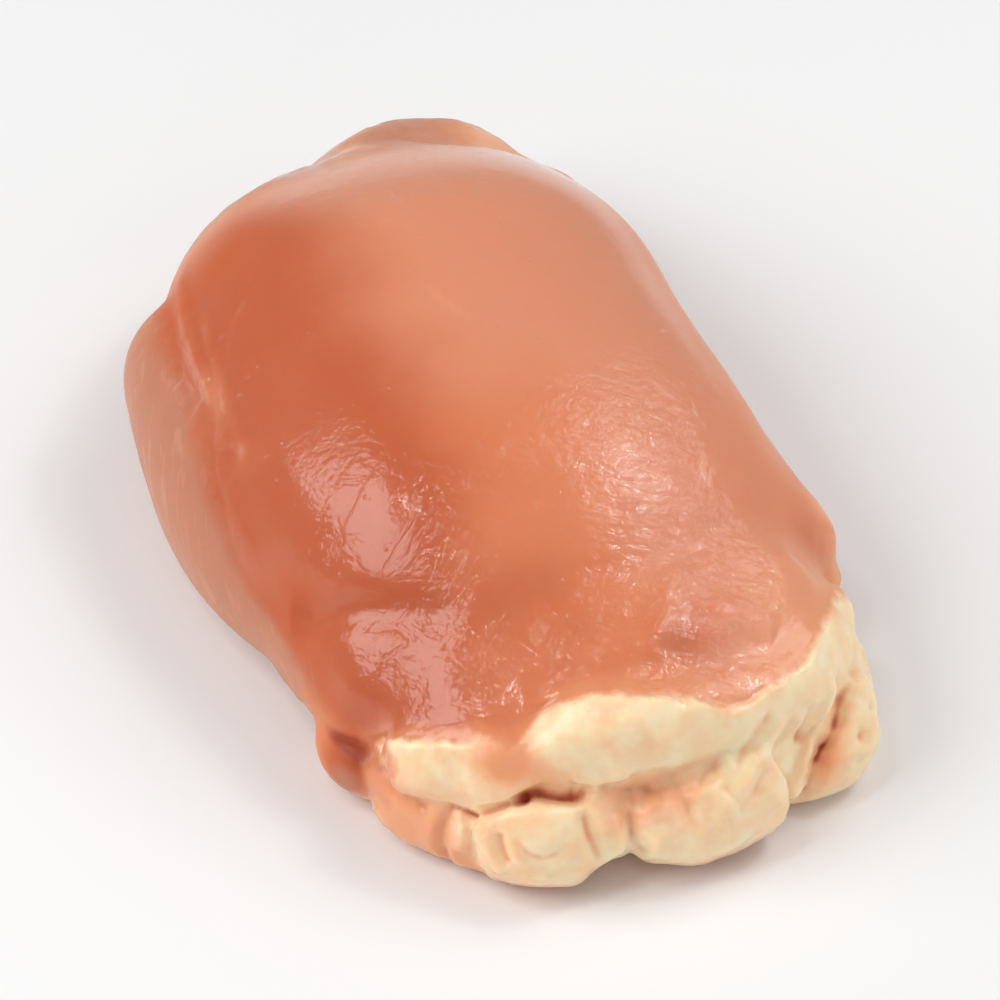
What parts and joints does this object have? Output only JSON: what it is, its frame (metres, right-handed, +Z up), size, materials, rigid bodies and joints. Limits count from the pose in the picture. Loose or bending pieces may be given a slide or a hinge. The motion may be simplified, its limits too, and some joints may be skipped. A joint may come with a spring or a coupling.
{
  "type": "raw chicken thigh",
  "caption": "Raw boneless, skinless chicken thigh lying smooth side up, a domed pink muscle whose flaps and fat are folded under it at one end.",
  "frame": {"origin": "on the table, under the middle of the meat's bounding box", "axes": "+Z up, +Y along the meat from the fatty folded end towards the plain back end, +X to the right as seen from the fatty end"},
  "size_m": [0.0675, 0.11, 0.0341],
  "materials": {
    "raw_meat": "moist raw poultry muscle under a thin glossy membrane, with cream fat folded along one end"
  },
  "bodies": {
    "root": {"chicken_thigh": "raw_meat"}
  },
  "joints": []
}
